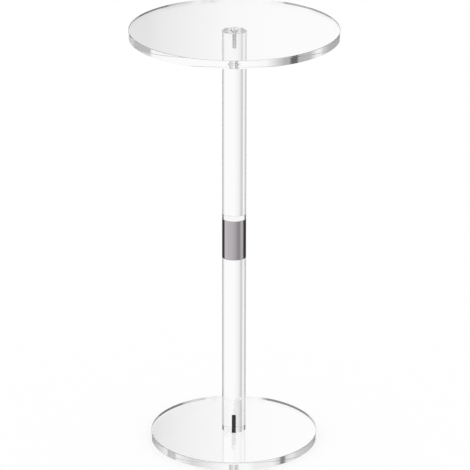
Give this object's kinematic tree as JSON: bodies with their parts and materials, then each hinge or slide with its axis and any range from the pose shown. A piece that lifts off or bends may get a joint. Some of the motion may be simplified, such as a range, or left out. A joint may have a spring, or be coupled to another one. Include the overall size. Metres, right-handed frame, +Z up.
{
  "type": "wine table",
  "caption": "Small round pedestal table in clear acrylic: a disc top and a smaller disc base on a solid rod column that unscrews at a polished metal collar.",
  "frame": {"origin": "middle of the base disc's underside, on the floor", "axes": "+Z up along the column's axis, -Y towards the viewer of the picture, +X to the viewer's right"},
  "size_m": [0.3, 0.3, 0.63],
  "materials": {
    "clear_acrylic": "polished",
    "polished_collar": "polished",
    "bright_plug": "polished",
    "bright_steel": "satin",
    "black_steel": "satin"
  },
  "bodies": {
    "lower_half": {"base_plate": "clear_acrylic", "base_insert": "bright_steel", "base_screw": "black_steel", "lower_rod": "clear_acrylic", "lower_plug": "bright_plug", "collar": "polished_collar"},
    "stud": {"coupling_stud": "bright_steel"},
    "upper_half": {"upper_plug": "bright_plug", "upper_rod": "clear_acrylic", "top_screw": "bright_steel", "top_insert": "bright_steel", "table_top": "clear_acrylic"}
  },
  "joints": [
    {"name": "upper_half_turn", "type": "hinge", "parent": "lower_half", "child": "stud", "pos_m": [0, 0, 0.315], "axis": [0, 0, 1], "range_deg": [0, 4320]},
    {"name": "upper_half_rise", "type": "slide", "parent": "stud", "child": "upper_half", "axis": [0, 0, 1], "range_m": [0, 0.018]}
  ],
  "couplings": [
    {"joint": "upper_half_rise", "follows": "upper_half_turn", "m_per_rad": 0.00023873}
  ]
}
